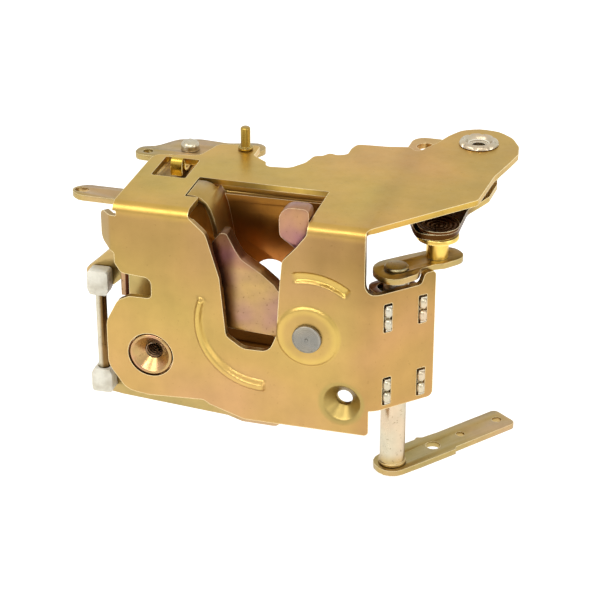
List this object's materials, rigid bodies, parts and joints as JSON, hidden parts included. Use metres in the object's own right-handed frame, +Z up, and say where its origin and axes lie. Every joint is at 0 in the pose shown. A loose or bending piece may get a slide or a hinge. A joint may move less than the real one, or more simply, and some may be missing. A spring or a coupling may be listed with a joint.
{
  "type": "car door lock",
  "caption": "Rotary car door lock: folded steel case with an open throat, latching fork, pawl, release and lock levers, link rod, and an upright crank shaft.",
  "frame": {"origin": "flat spot of the front face just below the throat, on its centre line", "axes": "+X to the right along the door face, +Y back into the door, +Z up towards the open end of the throat"},
  "size_m": [0.145, 0.0942, 0.0999],
  "materials": {
    "yellow_zinc_steel": "yellow zinc chromate plating, satin",
    "rainbow_zinc_steel": "yellow zinc chromate plating with pink tints, satin",
    "brass_yellow_zinc": "bright yellow zinc plating",
    "clear_zinc_steel": "clear zinc plating, satin",
    "spring_steel": "plain drawn wire",
    "white_nylon": "milky white nylon",
    "black_rubber": "moulded rubber"
  },
  "bodies": {
    "case": {"lock_plate": "yellow_zinc_steel", "back_plate": "yellow_zinc_steel", "shaft_bracket": "clear_zinc_steel", "fork_rivet": "clear_zinc_steel", "pivot_spacer": "yellow_zinc_steel", "insert_post": "brass_yellow_zinc", "stop_post": "yellow_zinc_steel", "stop_buffer": "black_rubber", "bell_crank_rivet": "clear_zinc_steel", "guide_pin": "brass_yellow_zinc", "lock_lever_rivet": "clear_zinc_steel", "arm_stud": "clear_zinc_steel", "fork_spring": "spring_steel", "release_spring": "spring_steel"},
    "latch_fork": {"fork": "rainbow_zinc_steel", "fork_bush": "brass_yellow_zinc"},
    "release_group": {"release_lever": "yellow_zinc_steel", "pawl": "rainbow_zinc_steel", "pawl_pin": "clear_zinc_steel"},
    "bottom_group": {"bottom_lever": "yellow_zinc_steel"},
    "link_group": {"link_rod": "brass_yellow_zinc", "lower_clip": "white_nylon", "upper_clip": "white_nylon"},
    "bell_group": {"bell_crank": "yellow_zinc_steel"},
    "lock_group": {"lock_lever": "yellow_zinc_steel", "lock_hook": "brass_yellow_zinc"},
    "crank_group": {"crank_shaft": "clear_zinc_steel", "flag_lever": "yellow_zinc_steel", "lower_lever": "yellow_zinc_steel", "crank_pin": "brass_yellow_zinc"},
    "arm_group": {"arm_lever": "yellow_zinc_steel"}
  },
  "joints": [
    {"name": "fork_pivot", "type": "hinge", "parent": "case", "child": "latch_fork", "pos_m": [0.0185, 0.006, 0.012], "axis": [0, -1, 0], "range_deg": [0, 70], "stiffness_Nm_per_rad": 0.2, "springref_deg": -34.38, "deforming": ["fork_spring"]},
    {"name": "release_pivot", "type": "hinge", "parent": "case", "child": "release_group", "pos_m": [-0.0348, 0.01, -0.0021], "axis": [0, 1, 0], "range_deg": [0, 8], "stiffness_Nm_per_rad": 0.4, "springref_deg": -28.65, "deforming": ["release_spring"]},
    {"name": "bottom_lever_pivot", "type": "hinge", "parent": "case", "child": "bottom_group", "pos_m": [-0.0348, 0.0144, -0.0021], "axis": [0, -1, 0], "range_deg": [0, 10], "stiffness_Nm_per_rad": 0.3, "springref_deg": -22.92},
    {"name": "bell_crank_pivot", "type": "hinge", "parent": "case", "child": "bell_group", "pos_m": [-0.0348, 0.0144, 0.0365], "axis": [0, -1, 0], "range_deg": [0, 10]},
    {"name": "link_pivot", "type": "hinge", "parent": "bottom_group", "child": "link_group", "pos_m": [-0.0555, 0.0144, -0.0203], "axis": [0, -1, 0], "range_deg": [-10, 0]},
    {"name": "lock_lever_pivot", "type": "hinge", "parent": "case", "child": "lock_group", "pos_m": [-0.0377, 0.0543, 0.0474], "axis": [0, 0, 1], "range_deg": [-2, 13]},
    {"name": "crank_pivot", "type": "hinge", "parent": "case", "child": "crank_group", "pos_m": [0.0438, 0.01322, 0], "axis": [0, 0, 1], "range_deg": [0, 20]},
    {"name": "arm_lever_pivot", "type": "hinge", "parent": "case", "child": "arm_group", "pos_m": [0.0567, 0.0785, 0.0426], "axis": [0, 0, 1], "range_deg": [-5, 0]}
  ],
  "couplings": [
    {"joint": "bell_crank_pivot", "follows": "bottom_lever_pivot", "ratio": 1},
    {"joint": "link_pivot", "follows": "bottom_lever_pivot", "ratio": -1},
    {"joint": "arm_lever_pivot", "follows": "crank_pivot", "ratio": -0.25}
  ]
}
